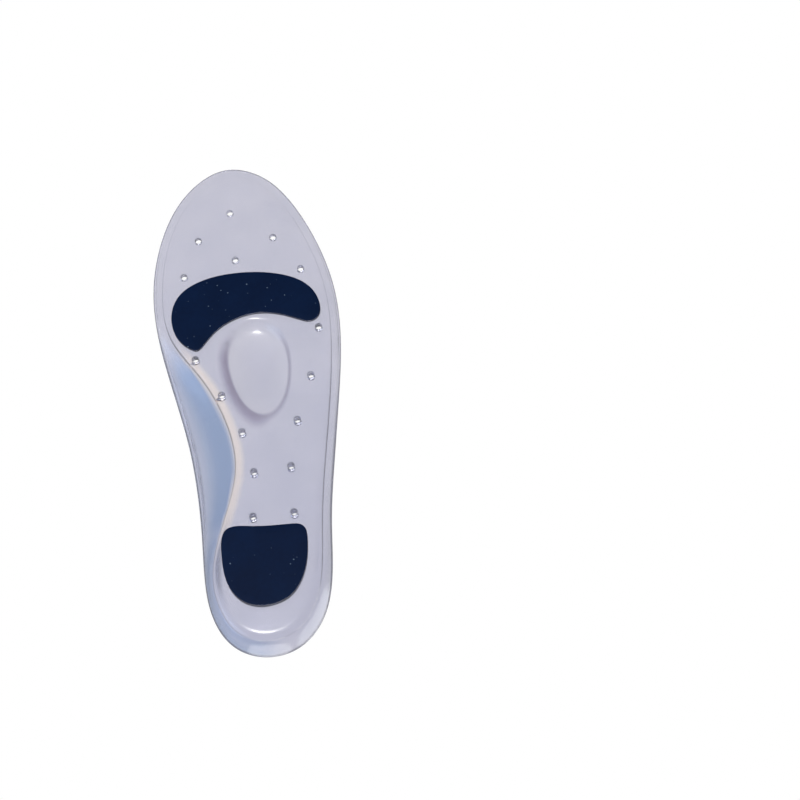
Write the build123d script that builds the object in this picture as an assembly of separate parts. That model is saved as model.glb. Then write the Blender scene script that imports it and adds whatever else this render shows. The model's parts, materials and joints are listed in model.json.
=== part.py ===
from build123d import *
import math
import os

# Cushioned full-length gel insole for a left foot, in millimetres: a clear gel body with an arch support,
# a heel cup and a metatarsal dome, and two softer dark pads set into its underside.
# +X points to the big-toe (medial) side, +Y to the toes and +Z up. The flat sole lies at z = 0, and the
# origin is on it, at the middle of the insole's length and width.

# Overall sizes of the gel body
LENGTH = 250.0
BALL_WIDTH = 86.0
HEEL_WIDTH = 57.5

# Gel thickness between the flat sole and the footbed, which tilts in one plane from heel to toe
HEEL_THICKNESS = 6.0
BALL_THICKNESS = 3.4

# Height of the rim above the sole in each zone
HEEL_RIM = 12.5
ARCH_RIM = 20.5
SIDE_RIM = 7.5
TOE_RIM = 2.0

# Thickness of the wall along its top edge, where it is a wall and where it thins to a feather edge
WALL_THICKNESS = 2.6
FEATHER_THICKNESS = 1.2

# Distance from the outline in to the crease under the flared wall
HEEL_FLARE = 3.9
ARCH_FLARE = 20.0
SIDE_FLARE = 3.6
TOE_FLARE = 4.2

# The flat sole's edge is a low rounded step up to that crease: its height, and its width inside the crease
WALL_STEP = 2.2
TOE_STEP = 0.5
HEEL_ROUND = 4.5
EDGE_ROUND = 1.8
HEEL_ROUND_START = 0.04
HEEL_ROUND_END = 0.18
STEP_PROFILE = ((1.0, 0.0), (0.55, 0.16), (0.15, 0.55), (0.0, 1.0))

# Beyond the crease the wall's underside curves up to its edge: the power of that curve, and where it is drawn
HEEL_CURL = 1.5
ARCH_CURL = 1.3
CURL_PLACES = (0.35, 0.70)

# The rim: how far across the edge its top lies, and how far it has turned down, or up, at its inner corner
RIM_TOP = 0.45
RIM_TURN_DOWN = 0.12
RIM_TURN_UP = 0.20

# Distance from the crease further in to the line where the wall meets the footbed, and the cove between
HEEL_COVE = 5.3
ARCH_COVE = 3.7
TOE_COVE = 2.5
COVE_POWER = 1.7
COVE_PLACES = (0.30, 0.65)

# Where along the length the outline changes from the heel's width to the ball's
HEEL_STATION = 0.20
BALL_STATION = 0.65

# Crescent pad under the ball of the foot
CRESCENT_DEPTH = 39.2
CRESCENT_MARGIN = 8.1
CRESCENT_STATION = 0.686
CRESCENT_THICKNESS = 1.8

# D-shaped pad under the heel
HEEL_PAD_LENGTH = 39.7
HEEL_PAD_MARGIN = 9.35
HEEL_PAD_FROM_REAR = 20.2
HEEL_PAD_THICKNESS = 3.2

# Metatarsal dome behind the crescent: raised above the footbed, hollowed from below
DOME_LENGTH = 53.0
DOME_WIDTH = 31.5
DOME_NOSE = 21.0
DOME_RISE = 5.2
DOME_HOLLOW = 4.6
DOME_TO_CRESCENT = 3.0
DOME_OFFSET = -3.5
DOME_LEAN = -3.6
DOME_RING_POINTS = 16
DOME_SKIRT = 0.02
DOME_RISES = (0.0, 0.22, 0.45, 0.70, 0.95, 1.20, 1.40, 1.52)

# Vent holes through the gel, their middles no nearer than this to a pad or to the dome
VENT_DIAMETER = 2.8
VENT_CLEARANCE = 4.0

SOLE_Z = 0.0
ABOVE_ALL = 60.0


def mix(a, b, share):
    """The value that lies share of the way from a to b."""
    return a + (b - a) * share


def ease(value, start, end):
    """A smooth 0 to 1 ramp as value goes from start to end."""
    t = min(max((value - start) / (end - start), 0.0), 1.0)
    return t * t * (3 - 2 * t)


def along_y(share):
    """The y of a share of the length, 0 at the back of the heel and 1 at the tip of the toe."""
    return (share - 0.5) * LENGTH


def half_width(share):
    """Half the width that the outline's shares are taken of, at a share of the length."""
    return mix(HEEL_WIDTH, BALL_WIDTH, ease(share, HEEL_STATION, BALL_STATION)) / 2


# Each station of the outline, seen from above and anticlockwise from the back of the heel: its share of
# the length, its share of the half width, the rim's height there and the flare of the wall's underside.
STATIONS = [
    (0.000, 0.087, HEEL_RIM, HEEL_FLARE),
    (0.022, 0.575, HEEL_RIM, HEEL_FLARE),
    (0.084, 0.904, HEEL_RIM, HEEL_FLARE),
    (0.164, 1.000, mix(HEEL_RIM, ARCH_RIM, 0.10), mix(HEEL_FLARE, ARCH_FLARE, 0.065)),
    (0.252, 0.991, mix(HEEL_RIM, ARCH_RIM, 0.50), mix(HEEL_FLARE, ARCH_FLARE, 0.455)),
    (0.348, 0.927, mix(HEEL_RIM, ARCH_RIM, 0.90), mix(HEEL_FLARE, ARCH_FLARE, 0.95)),
    (0.448, 0.882, ARCH_RIM, mix(TOE_FLARE, ARCH_FLARE, 0.93)),
    (0.544, 0.907, mix(TOE_RIM, ARCH_RIM, 0.74), mix(TOE_FLARE, ARCH_FLARE, 0.57)),
    (0.636, 0.968, mix(TOE_RIM, ARCH_RIM, 0.24), mix(TOE_FLARE, ARCH_FLARE, 0.08)),
    (0.716, 1.000, TOE_RIM, TOE_FLARE),
    (0.808, 0.944, TOE_RIM, TOE_FLARE),
    (0.894, 0.781, TOE_RIM, TOE_FLARE),
    (0.964, 0.500, TOE_RIM, TOE_FLARE),
    (1.000, 0.093, TOE_RIM, TOE_FLARE),
    (0.976, -0.291, TOE_RIM, TOE_FLARE),
    (0.908, -0.605, TOE_RIM, TOE_FLARE),
    (0.814, -0.840, TOE_RIM, TOE_FLARE),
    (0.708, -0.982, TOE_RIM, TOE_FLARE),
    (0.596, -1.006, mix(TOE_RIM, SIDE_RIM, 0.25), TOE_FLARE),
    (0.472, -1.020, mix(TOE_RIM, SIDE_RIM, 0.65), SIDE_FLARE),
    (0.356, -1.052, SIDE_RIM, SIDE_FLARE),
    (0.244, -1.055, mix(SIDE_RIM, HEEL_RIM, 0.30), SIDE_FLARE),
    (0.144, -1.000, mix(SIDE_RIM, HEEL_RIM, 0.75), HEEL_FLARE),
    (0.060, -0.790, HEEL_RIM, HEEL_FLARE),
    (0.011, -0.380, HEEL_RIM, HEEL_FLARE),
]


def footbed_z(y):
    """Height of the footbed plane at y: it falls evenly from the heel seat through the ball to the toe."""
    heel_y = along_y(HEEL_STATION)
    ball_y = along_y(BALL_STATION)
    return mix(HEEL_THICKNESS, BALL_THICKNESS, (y - heel_y) / (ball_y - heel_y))


def outline_points():
    """The stations' places in plan."""
    return [Vector(across * half_width(share), along_y(share)) for share, across, _, _ in STATIONS]


def inward(points, index):
    """Unit vector across the outline at a station, pointing into the insole."""
    before = points[index - 1]
    after = points[(index + 1) % len(points)]
    run = (after - before).normalized()
    return Vector(-run.Y, run.X)


def arch_share(flare):
    """0 away from the arch and 1 in the middle of it."""
    return min(max((flare - TOE_FLARE) / (ARCH_FLARE - TOE_FLARE), 0.0), 1.0)


def wall_cove(share, flare):
    """Distance from the crease in to the footbed line: a wide cove in the heel cup, narrow elsewhere."""
    heel_to_toe = mix(HEEL_COVE, TOE_COVE, ease(share, HEEL_STATION, BALL_STATION))
    return mix(heel_to_toe, ARCH_COVE, arch_share(flare))


def rim_lip(rim, shoulder, bed):
    """Height of the rim's inner corner, on the way down to the footbed or up to it."""
    if bed > rim:
        return mix(rim, bed, RIM_TURN_UP)
    return max(mix(rim, bed, RIM_TURN_DOWN), shoulder)


def section(point, normal, share, rim, flare):
    """The closed section's points from the sole's edge, out and up round the rim, and in to the footbed."""
    is_wall = ease(rim, TOE_RIM, SIDE_RIM)
    edge = mix(FEATHER_THICKNESS, WALL_THICKNESS, is_wall)
    step = mix(TOE_STEP, WALL_STEP, is_wall)
    width = mix(HEEL_ROUND, EDGE_ROUND, ease(share, HEEL_ROUND_START, HEEL_ROUND_END))
    curl = mix(HEEL_CURL, ARCH_CURL, arch_share(flare))
    shoulder = rim - edge / 2
    depth = flare + wall_cove(share, flare)
    bed = footbed_z((point + normal * depth).Y)
    lip = rim_lip(rim, shoulder, bed)
    steps = [(flare + width * inset, step * rise) for inset, rise in STEP_PROFILE]
    steps += [(flare * (1 - q), mix(step, shoulder, q**curl)) for q in CURL_PLACES]
    steps += [(0.0, shoulder), (edge * RIM_TOP, rim), (edge, lip)]
    steps += [(mix(edge, depth, q), mix(bed, lip, (1 - q) ** COVE_POWER)) for q in COVE_PLACES]
    steps += [(depth, bed)]
    return [point + normal * inset + Vector(0, 0, z) for inset, z in steps]


def ring(points):
    """A closed smooth wire through points, all rings sharing one spacing of their parameters."""
    plan = outline_points()
    gaps = [(plan[i] - plan[i - 1]).length for i in range(1, len(plan))] + [(plan[0] - plan[-1]).length]
    parameters = [sum(gaps[:i]) for i in range(len(gaps) + 1)]
    return Wire([Edge.make_spline(points, periodic=True, parameters=parameters)])


def gel_shell():
    """The gel body before its dome, pockets and holes: one skin from the sole round the rim to the bed."""
    plan = outline_points()
    sections = []
    for index, (share, _, rim, flare) in enumerate(STATIONS):
        sections.append(section(plan[index], inward(plan, index), share, rim, flare))
    rings = [ring(list(points)) for points in zip(*sections)]
    return Solid.make_loft(rings, ruled=True)


def egg_ring(grow, z):
    """The dome's egg outline, grown or shrunk by a share and lying at z, its blunt nose to the toes."""
    points = []
    for step in range(DOME_RING_POINTS):
        angle = 2 * math.pi * step / DOME_RING_POINTS
        reach = DOME_NOSE if math.sin(angle) > 0 else DOME_LENGTH - DOME_NOSE
        points.append(Vector(DOME_WIDTH / 2 * math.cos(angle), reach * math.sin(angle)) * grow)
    return Pos(0, 0, z) * Wire([Edge.make_spline(points, periodic=True)])


def egg(height, base_z, bottom_z, centre):
    """A crowned egg, height above base_z where it has the dome's plan, and cut off flat at bottom_z."""
    skirt = (base_z - bottom_z) / height * DOME_SKIRT
    rings = [egg_ring(1 + skirt, bottom_z)]
    rings += [egg_ring(math.cos(rise), base_z + height * math.sin(rise)) for rise in DOME_RISES]
    return Pos(centre.X, centre.Y, 0) * Rot(Z=DOME_LEAN) * Solid.make_loft(rings, ruled=True)


# Each pad's outline, anticlockwise, as shares of half its width (towards the big toe) and of its depth
# (forward from its rearmost point). The crescent's starts at its tip under the big toe's ball.
CRESCENT_OUTLINE = [
    (0.725, 0.000),
    (0.890, 0.120),
    (1.005, 0.480),
    (0.880, 0.770),
    (0.550, 0.945),
    (0.100, 1.000),
    (-0.400, 0.945),
    (-0.815, 0.765),
    (-0.985, 0.505),
    (-0.940, 0.270),
    (-0.840, 0.235),
    (-0.725, 0.265),
    (-0.420, 0.380),
    (-0.145, 0.420),
    (0.155, 0.370),
    (0.430, 0.225),
    (0.590, 0.070),
]
BIG_TOE_TIP = CRESCENT_OUTLINE[0]
SMALL_TOE_TIP = CRESCENT_OUTLINE[9]
CRESCENT_HOLLOW = CRESCENT_OUTLINE[13]

# The heel pad's starts at the back of the heel.
HEEL_PAD_OUTLINE = [
    (0.070, 0.000),
    (0.355, 0.020),
    (0.640, 0.100),
    (0.850, 0.240),
    (0.975, 0.450),
    (1.000, 0.690),
    (0.960, 0.885),
    (0.870, 0.965),
    (0.630, 1.000),
    (0.405, 0.990),
    (0.125, 0.972),
    (-0.315, 0.960),
    (-0.675, 0.956),
    (-0.860, 0.940),
    (-0.960, 0.895),
    (-1.000, 0.775),
    (-0.980, 0.615),
    (-0.895, 0.405),
    (-0.730, 0.220),
    (-0.480, 0.083),
    (-0.210, 0.022),
]


def crescent_point(across, ahead):
    """A place on the crescent's grid, in plan."""
    half = BALL_WIDTH / 2 - CRESCENT_MARGIN
    rear = along_y(CRESCENT_STATION) - CRESCENT_DEPTH / 2
    return Vector(across * half, rear + ahead * CRESCENT_DEPTH)


def heel_pad_point(across, ahead):
    """A place on the heel pad's grid, in plan."""
    half = HEEL_WIDTH / 2 - HEEL_PAD_MARGIN
    return Vector(across * half, along_y(0) + HEEL_PAD_FROM_REAR + ahead * HEEL_PAD_LENGTH)


def soft_pad(outline, thickness):
    """A flat pad with a smooth closed outline, its underside flush with the sole."""
    return extrude(make_face(Edge.make_spline(outline, periodic=True)), amount=thickness)


def dome_centre():
    """Where the dome is widest: its nose sits behind the crescent's hollow side."""
    hollow_y = crescent_point(*CRESCENT_HOLLOW).Y
    return Vector(DOME_OFFSET, hollow_y - DOME_TO_CRESCENT - DOME_NOSE)


def vent_places():
    """The sixteen vents: round the crescent, beside and behind the dome, and ahead of the heel pad."""
    gap = VENT_CLEARANCE
    front = crescent_point(0, 1).Y
    toe = along_y(1)
    dome = dome_centre()
    tail = dome.Y - (DOME_LENGTH - DOME_NOSE)
    heel = heel_pad_point(0, 1).Y
    waist = mix(heel, tail, 0.5)
    side = DOME_WIDTH / 2
    return [
        Vector(4, mix(front, toe, 0.57)),
        Vector(20, mix(front, toe, 0.34)),
        Vector(-15.5, mix(front, toe, 0.30)),
        crescent_point(0.80, 0.83) + Vector(0, gap + 3.6),
        crescent_point(0.09, 1) + Vector(0, gap + 3.4),
        crescent_point(-0.78, 0.79) + Vector(0, gap + 3.1),
        crescent_point(*BIG_TOE_TIP) + Vector(-0.2, -gap - 0.6),
        crescent_point(*SMALL_TOE_TIP) + Vector(-0.3, -gap - 0.8),
        dome + Vector(side + gap - 2, -17.3),
        dome + Vector(-side - gap - 4.3, -11.7),
        Vector(6.2, tail - gap - 1.3),
        Vector(-19.5, tail - gap + 1.9),
        Vector(2.2, waist),
        Vector(-14.8, waist + 1),
        Vector(4.2, heel + gap),
        Vector(-14.4, heel + gap),
    ]


def vents():
    """One cylinder through the whole thickness for each vent."""
    hole = Cylinder(VENT_DIAMETER / 2, ABOVE_ALL)
    return [Pos(place.X, place.Y, SOLE_Z) * hole for place in vent_places()]


def gel_body(pads):
    """The clear gel: the shell with its dome, less the dome's hollow, the pads' pockets and the vents."""
    centre = dome_centre()
    bed = footbed_z(centre.Y)
    body = gel_shell() + egg(DOME_RISE, bed, bed / 2, centre)
    body = body - egg(DOME_HOLLOW, SOLE_Z, -DOME_HOLLOW, centre)
    for pad in pads:
        body = body - pad
    for vent in vents():
        body = body - vent
    return body


def main():
    os.makedirs("parts", exist_ok=True)
    crescent = soft_pad([crescent_point(*share) for share in CRESCENT_OUTLINE], CRESCENT_THICKNESS)
    heel = soft_pad([heel_pad_point(*share) for share in HEEL_PAD_OUTLINE], HEEL_PAD_THICKNESS)
    nodes = {
        "gel_body": gel_body([crescent, heel]),
        "metatarsal_pad": crescent,
        "heel_pad": heel,
    }
    for name, shape in nodes.items():
        export_step(shape, f"parts/{name}.step")
        size = shape.bounding_box().size
        print(f"{name}: {size.X:.1f} x {size.Y:.1f} x {size.Z:.1f} mm, {shape.volume / 1000:.1f} cm3")


main()
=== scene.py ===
# %% [markdown]
# # A clear gel insole
# The real object is one soft casting of clear silicone gel with two dark, softer pads cast into its
# underside. Nothing is sewn or screwed, so the whole look is in smooth curved walls, in the way light
# passes through the gel, and in small things: a thin edge, a ring round each vent, dust on the pads.
# The CAD frame gives every size. The gel and the pads are then built again as clean meshes in its place.

# %% Load the frame
import json
import math

import bmesh
import bpy
import numpy as np
from mathutils import Matrix, Vector
from mathutils.bvhtree import BVHTree
from mathutils.geometry import delaunay_2d_cdt

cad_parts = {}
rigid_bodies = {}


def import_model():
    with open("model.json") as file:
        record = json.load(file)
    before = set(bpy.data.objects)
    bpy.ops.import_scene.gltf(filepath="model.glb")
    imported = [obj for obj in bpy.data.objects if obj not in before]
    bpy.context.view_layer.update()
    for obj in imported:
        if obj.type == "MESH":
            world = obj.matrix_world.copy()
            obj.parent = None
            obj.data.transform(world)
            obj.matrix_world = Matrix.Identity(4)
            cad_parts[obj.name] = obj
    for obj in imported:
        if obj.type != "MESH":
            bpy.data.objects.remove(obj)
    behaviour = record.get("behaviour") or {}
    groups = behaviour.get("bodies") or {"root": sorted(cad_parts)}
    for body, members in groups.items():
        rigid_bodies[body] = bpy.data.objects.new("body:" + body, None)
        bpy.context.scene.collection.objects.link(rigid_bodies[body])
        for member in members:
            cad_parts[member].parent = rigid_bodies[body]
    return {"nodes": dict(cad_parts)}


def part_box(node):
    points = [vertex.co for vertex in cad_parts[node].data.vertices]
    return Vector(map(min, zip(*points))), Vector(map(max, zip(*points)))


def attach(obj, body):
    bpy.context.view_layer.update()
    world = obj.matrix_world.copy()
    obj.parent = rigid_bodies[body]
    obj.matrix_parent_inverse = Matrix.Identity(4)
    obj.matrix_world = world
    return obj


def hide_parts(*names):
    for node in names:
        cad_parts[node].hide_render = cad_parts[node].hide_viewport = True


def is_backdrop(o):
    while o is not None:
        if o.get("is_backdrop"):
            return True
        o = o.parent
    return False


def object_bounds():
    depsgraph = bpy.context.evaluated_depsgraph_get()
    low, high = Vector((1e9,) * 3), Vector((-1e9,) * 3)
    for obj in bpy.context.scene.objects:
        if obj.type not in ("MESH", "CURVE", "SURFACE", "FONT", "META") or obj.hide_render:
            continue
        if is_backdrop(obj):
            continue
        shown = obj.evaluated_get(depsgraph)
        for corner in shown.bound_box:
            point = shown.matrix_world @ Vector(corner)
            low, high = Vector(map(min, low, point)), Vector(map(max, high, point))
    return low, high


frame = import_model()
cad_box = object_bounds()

MM = 0.001
print("nodes in the frame:", ", ".join(sorted(frame["nodes"])))

# %% [markdown]
# ## Sizes
# The length and the ball width come from the frame's gel body. The rest are the casting's own sizes:
# how high the rim stands in each zone, how far the wall leans out over the sole, and how thick its
# edge is. They are the same sizes that the CAD body has, so the two agree all over.

# %% Sizes of the gel body
gel_low, gel_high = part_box("gel_body")
LENGTH = gel_high.y - gel_low.y
BALL_WIDTH = gel_high.x - gel_low.x
HEEL_WIDTH = 57.5 * MM
HEEL_THICKNESS, BALL_THICKNESS = 6.0 * MM, 3.4 * MM
HEEL_RIM, ARCH_RIM, SIDE_RIM, TOE_RIM = 12.5 * MM, 20.5 * MM, 7.5 * MM, 2.0 * MM
WALL_THICKNESS, FEATHER_THICKNESS = 2.6 * MM, 1.2 * MM
HEEL_FLARE, ARCH_FLARE, SIDE_FLARE, TOE_FLARE = 3.9 * MM, 20.0 * MM, 3.6 * MM, 4.2 * MM
WALL_STEP, TOE_STEP = 2.2 * MM, 0.5 * MM
HEEL_ROUND, EDGE_ROUND = 4.5 * MM, 1.8 * MM
HEEL_COVE, ARCH_COVE, TOE_COVE = 5.3 * MM, 3.7 * MM, 2.5 * MM
HEEL_STATION, BALL_STATION = 0.20, 0.65
print(f"gel body {LENGTH / MM:.0f} mm long, {BALL_WIDTH / MM:.0f} mm across the ball")


# %% Small helpers
def mix(a, b, share):
    """The value that lies share of the way from a to b."""
    return a + (b - a) * share


def ease(value, start, end):
    """A smooth 0 to 1 ramp as value goes from start to end; works on arrays too."""
    t = np.clip((value - start) / (end - start), 0.0, 1.0)
    return t * t * (3 - 2 * t)


def station_y(share):
    """The y of a station that lies share of the way from heel to toe."""
    return (share - 0.5) * LENGTH


# %% [markdown]
# ## The outline
# A foot shape is a closed curve that changes slowly, so a few stations round it are enough. Each one
# says how far along and across it lies, how high the rim is there, and how far the wall leans out. A
# closed cubic curve through the stations then gives as many places as the mesh needs.

# %% Stations of the outline, anticlockwise from the back of the heel as seen from above
STATIONS = [
    # along, across, rim height, flare of the wall
    (0.000, 0.087, HEEL_RIM, HEEL_FLARE),
    (0.022, 0.575, HEEL_RIM, HEEL_FLARE),
    (0.084, 0.904, HEEL_RIM, HEEL_FLARE),
    (0.164, 1.000, mix(HEEL_RIM, ARCH_RIM, 0.10), mix(HEEL_FLARE, ARCH_FLARE, 0.065)),
    (0.252, 0.991, mix(HEEL_RIM, ARCH_RIM, 0.50), mix(HEEL_FLARE, ARCH_FLARE, 0.455)),
    (0.348, 0.927, mix(HEEL_RIM, ARCH_RIM, 0.90), mix(HEEL_FLARE, ARCH_FLARE, 0.95)),
    (0.448, 0.882, ARCH_RIM, mix(TOE_FLARE, ARCH_FLARE, 0.93)),
    (0.544, 0.907, mix(TOE_RIM, ARCH_RIM, 0.74), mix(TOE_FLARE, ARCH_FLARE, 0.57)),
    (0.636, 0.968, mix(TOE_RIM, ARCH_RIM, 0.24), mix(TOE_FLARE, ARCH_FLARE, 0.08)),
    (0.716, 1.000, TOE_RIM, TOE_FLARE),
    (0.808, 0.944, TOE_RIM, TOE_FLARE),
    (0.894, 0.781, TOE_RIM, TOE_FLARE),
    (0.964, 0.500, TOE_RIM, TOE_FLARE),
    (1.000, 0.093, TOE_RIM, TOE_FLARE),
    (0.976, -0.291, TOE_RIM, TOE_FLARE),
    (0.908, -0.605, TOE_RIM, TOE_FLARE),
    (0.814, -0.840, TOE_RIM, TOE_FLARE),
    (0.708, -0.982, TOE_RIM, TOE_FLARE),
    (0.596, -1.006, mix(TOE_RIM, SIDE_RIM, 0.25), TOE_FLARE),
    (0.472, -1.020, mix(TOE_RIM, SIDE_RIM, 0.65), SIDE_FLARE),
    (0.356, -1.052, SIDE_RIM, SIDE_FLARE),
    (0.244, -1.055, mix(SIDE_RIM, HEEL_RIM, 0.30), SIDE_FLARE),
    (0.144, -1.000, mix(SIDE_RIM, HEEL_RIM, 0.75), HEEL_FLARE),
    (0.060, -0.790, HEEL_RIM, HEEL_FLARE),
    (0.011, -0.380, HEEL_RIM, HEEL_FLARE),
]
AROUND = 360


def half_width(share):
    """Half the width that the across values are shares of."""
    return mix(HEEL_WIDTH, BALL_WIDTH, ease(share, HEEL_STATION, BALL_STATION)) / 2


def closed_spline(values, knots, places):
    """A closed cubic curve through rows of values at knots, read at places; knots has one more entry."""
    count = len(values)
    gaps = np.diff(knots)
    grid = np.zeros((count, count))
    bend = np.zeros_like(values)
    for i in range(count):
        before, after = gaps[i - 1], gaps[i]
        grid[i, i - 1] += before
        grid[i, i] += 2 * (before + after)
        grid[i, (i + 1) % count] += after
        slope = (values[(i + 1) % count] - values[i]) / after
        bend[i] = 6 * (slope - (values[i] - values[i - 1]) / before)
    second = np.linalg.solve(grid, bend)
    cell = np.clip(np.searchsorted(knots, places, side="right") - 1, 0, count - 1)
    gap = gaps[cell][:, None]
    b = (places - knots[cell])[:, None] / gap
    a = 1 - b
    ends = a * values[cell] + b * values[(cell + 1) % count]
    curve = (a**3 - a) * second[cell] + (b**3 - b) * second[(cell + 1) % count]
    return ends + curve * gap**2 / 6


def outline_table():
    """The outline at AROUND places: x, y, rim height and flare, one row each."""
    rows = [(across * half_width(along), station_y(along), rim, flare)
            for along, across, rim, flare in STATIONS]
    rows = np.array(rows)
    steps = np.linalg.norm(np.roll(rows[:, :2], -1, axis=0) - rows[:, :2], axis=1)
    knots = np.concatenate([[0.0], np.cumsum(steps)])
    places = np.linspace(0, knots[-1], AROUND, endpoint=False)
    return closed_spline(rows, knots, places)


outline = outline_table()
print(f"outline: {len(STATIONS)} stations, {AROUND} places round it")

# %% [markdown]
# ## The footbed, the heel seat and the metatarsal dome
# Seen from above the gel is a height: a bed that tilts gently from heel to toe, dished where the heel
# sits, with an egg-shaped dome behind the ball of the foot. Seen from below it is flat, apart from the
# hollow under that dome. A height at each x and y is the simplest way to say both.

# %% Heights of the two faces
DOME_LENGTH, DOME_WIDTH, DOME_NOSE = 53.0 * MM, 31.5 * MM, 21.0 * MM
DOME_RISE, DOME_HOLLOW = 5.2 * MM, 4.6 * MM
DOME_LEAN = math.radians(-3.6)
DOME_X = -3.5 * MM
DOME_TO_CRESCENT = 3.0 * MM
CRESCENT_INNER = 0.42  # how far forward the crescent's inner edge lies, as a share of its depth
DOME_SKIRT = 1.12  # the dome's foot spreads to this share of its outline
HOLLOW_WALL, HOLLOW_CURL = 0.24, 1.4  # the outer share of the hollow that is its wall, and how it curls
HOLLOW_STEEP = 0.45  # how much of the hollow's depth comes from its wall; a bowl gives the rest
SEAT_DISH = 1.3 * MM
SEAT_Y, SEAT_REACH, SEAT_HALF = station_y(0.16), 44.0 * MM, 21.0 * MM

crescent_low, crescent_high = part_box("metatarsal_pad")
dome_y = mix(crescent_low.y, crescent_high.y, CRESCENT_INNER) - DOME_TO_CRESCENT - DOME_NOSE


def egg_share(x, y):
    """0 at the dome's centre, 1 on its egg-shaped outline, and more outside it."""
    dx, dy = x - DOME_X, y - dome_y
    across = dx * math.cos(DOME_LEAN) + dy * math.sin(DOME_LEAN)
    ahead = -dx * math.sin(DOME_LEAN) + dy * math.cos(DOME_LEAN)
    reach = np.where(ahead > 0, DOME_NOSE, DOME_LENGTH - DOME_NOSE)
    return np.hypot(across / (DOME_WIDTH / 2), ahead / reach)


def plane_z(y):
    """The plain tilted footbed, before its dish and dome."""
    heel_y, ball_y = station_y(HEEL_STATION), station_y(BALL_STATION)
    return mix(HEEL_THICKNESS, BALL_THICKNESS, (y - heel_y) / (ball_y - heel_y))


def bed_z(x, y):
    """Height of the top face inside the wall's foot."""
    seat = np.hypot(x / SEAT_HALF, (y - SEAT_Y) / SEAT_REACH)
    dish = SEAT_DISH * (1 - ease(seat, 0.0, 1.0))
    dome = DOME_RISE * (1 - ease(egg_share(x, y), 0.0, DOME_SKIRT))
    return plane_z(y) - dish + dome


def sole_z(x, y):
    """Height of the underside: flat, with a soft-walled hollow under the dome."""
    share = np.clip(egg_share(x, y), 0, 1)
    wall = 1 - np.clip((share - 1 + HOLLOW_WALL) / HOLLOW_WALL, 0, 1) ** HOLLOW_CURL
    return DOME_HOLLOW * mix(1 - share**2, wall, HOLLOW_STEEP)


dome_top = bed_z(DOME_X, dome_y)
print(f"dome centre {DOME_X / MM:.1f}, {dome_y / MM:.1f} mm; height there {dome_top / MM:.1f} mm")

# %% [markdown]
# ## The wall
# Round the whole edge the gel leaves the flat sole at a crease, climbs outwards, turns over a rounded
# rim and comes down to the footbed. One function gives that section from its sizes. In the arch it is a
# tall thin flange over an open hollow, at the heel a cup, and at the toes only a feather edge.


# %% One section of the wall
FOOT_STEPS, WALL_STEPS, RIM_STEPS, COVE_STEPS = 6, 9, 6, 10
ROUND_START, ROUND_END = 0.04, 0.18  # where the sole's edge loses the heel's extra roundness
WALL_CURL, ARCH_CURL, COVE_CURL = 1.5, 1.3, 1.7  # 1 is straight, more leaves the sole or the bed flatter
TOE_LIP, RIM_LIP = 0.20, 0.12  # how far the inner lip drops from the rim's height to the bed's


def wall_sections(table):
    """Points of the section at every place, as an array [step, place, xyz], from the sole to the bed."""
    x, y, rim, flare = table.T
    run = np.roll(table[:, :2], -1, axis=0) - np.roll(table[:, :2], 1, axis=0)
    run /= np.linalg.norm(run, axis=1)[:, None]
    inward_x, inward_y = -run[:, 1], run[:, 0]
    along = y / LENGTH + 0.5
    is_wall = ease(rim, TOE_RIM, SIDE_RIM)
    edge = mix(FEATHER_THICKNESS, WALL_THICKNESS, is_wall)
    shoulder = rim - edge / 2
    arch = np.clip((flare - TOE_FLARE) / (ARCH_FLARE - TOE_FLARE), 0, 1)
    cove = mix(mix(HEEL_COVE, TOE_COVE, ease(along, HEEL_STATION, BALL_STATION)), ARCH_COVE, arch)
    step = mix(TOE_STEP, WALL_STEP, is_wall)
    width = mix(HEEL_ROUND, EDGE_ROUND, ease(along, ROUND_START, ROUND_END))
    curl = mix(WALL_CURL, ARCH_CURL, arch)
    depth = flare + cove
    bed = plane_z(y + inward_y * depth)
    lip = np.where(bed > rim, mix(rim, bed, TOE_LIP), np.maximum(mix(rim, bed, RIM_LIP), shoulder))
    steps = []
    for turn in np.linspace(0, math.pi / 2, FOOT_STEPS + 1)[:-1]:
        steps.append((flare + width * (1 - math.sin(turn)), step * (1 - math.cos(turn))))
    for q in np.linspace(0, 1, WALL_STEPS + 1):
        steps.append((flare * (1 - q), mix(step, shoulder, q**curl)))
    for turn in np.linspace(0, math.pi, RIM_STEPS + 1)[1:-1]:
        ridge = mix(mix(shoulder, lip, (1 - math.cos(turn)) / 2), rim, math.sin(turn))
        steps.append((edge * (1 - math.cos(turn)) / 2, ridge))
    for q in np.linspace(0, 1, COVE_STEPS + 1):
        steps.append((mix(edge, depth, q), mix(bed, lip, (1 - q) ** COVE_CURL)))
    rows = [(x + inward_x * inset, y + inward_y * inset, z + 0 * x) for inset, z in steps]
    return np.array(rows).transpose(0, 2, 1)


wall = wall_sections(outline)
print(f"wall: {wall.shape[0]} steps from sole to bed")

# %% [markdown]
# ## Closing the sole and the bed
# The wall leaves two openings, one below and one above. Each is filled with a field of points and
# joined by a Delaunay triangulation, which keeps the triangles even however the outline bends. The
# height functions then lift those points, so the dome and its hollow are part of the same skin.


# %% Fill a closed loop with even triangles
FILL_MARGIN = 0.6  # the least gap between the loop and a point inside it, as a share of the spacing
INSIDE_ONLY = 1  # the triangulation keeps only the triangles inside the loop
SAME_POINT = 1e-9


def field(low, high, spacing):
    """Points of a triangular grid that covers a rectangle."""
    rows = []
    step_y = spacing * math.sqrt(3) / 2
    for j, y in enumerate(np.arange(low[1], high[1], step_y)):
        shift = spacing / 2 if j % 2 else 0.0
        rows += [(x, y) for x in np.arange(low[0] + shift, high[0], spacing)]
    return np.array(rows)


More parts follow.
